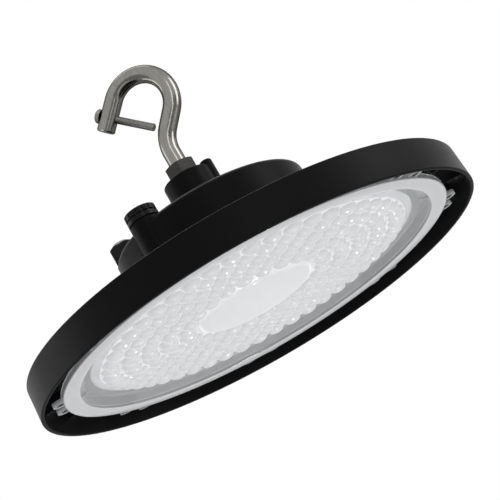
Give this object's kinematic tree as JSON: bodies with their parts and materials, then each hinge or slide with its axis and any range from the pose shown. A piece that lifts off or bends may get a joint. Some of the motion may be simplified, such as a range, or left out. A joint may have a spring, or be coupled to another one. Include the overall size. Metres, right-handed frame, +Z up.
{
  "type": "high bay light",
  "caption": "Round high bay light: ribbed black cast housing with a driver chamber, clear lens with a dome over each LED, cable gland, screw plug and a steel hanging hook.",
  "frame": {"origin": "centre of the rim's lower edge, on the lamp's axis", "axes": "+Z up along the lamp's axis to the hook; the light shines towards -Z; the hook's mouth faces -X"},
  "size_m": [0.3, 0.3, 0.1848],
  "materials": {
    "black_casting": "fine satin black powder coat over die-cast aluminium",
    "clear_lens": "clear moulded polycarbonate",
    "black_screw": "black-plated steel",
    "white_board": "white solder mask over an aluminium board",
    "led_phosphor": "yellow phosphor in a white package",
    "grey_pad": "grey thermal pad",
    "bare_aluminium": "plain rolled aluminium",
    "black_plate": "black anodised aluminium",
    "zinc_screw": "zinc-plated steel",
    "white_film": "white polyester film",
    "black_rubber": "black rubber",
    "red_lead": "insulated lead",
    "green_board": "green circuit board",
    "ferrite": "ferrite and tape",
    "capacitor_sleeve": "dark sleeve",
    "white_nylon": "white nylon",
    "blue_epoxy": "blue epoxy",
    "black_nylon": "black nylon",
    "brushed_stainless": "brushed stainless steel"
  },
  "bodies": {
    "root": {"housing": "black_casting", "lens": "clear_lens", "lens_gasket": "black_rubber", "lens_screws": "black_screw", "led_board": "white_board", "leds": "led_phosphor", "thermal_pad": "grey_pad", "heat_spreader": "black_plate", "spreader_screws": "zinc_screw", "led_board_screws": "zinc_screw", "insulating_sheet": "white_film", "lead_grommet": "black_rubber", "led_leads": "red_lead", "driver_board": "green_board", "driver_board_screws": "zinc_screw", "transformer": "ferrite", "filter_choke": "ferrite", "capacitors": "capacitor_sleeve", "driver_heat_sink": "bare_aluminium", "terminal_block": "white_nylon", "varistor": "blue_epoxy", "earth_screw": "zinc_screw", "gland_washer": "black_rubber", "gland_body": "black_nylon", "gland_dome_nut": "black_nylon", "gland_seal": "black_rubber", "port_seal": "black_rubber", "port_plug": "black_nylon", "hook": "brushed_stainless", "hook_nut": "brushed_stainless", "safety_screw": "brushed_stainless"}
  },
  "joints": []
}
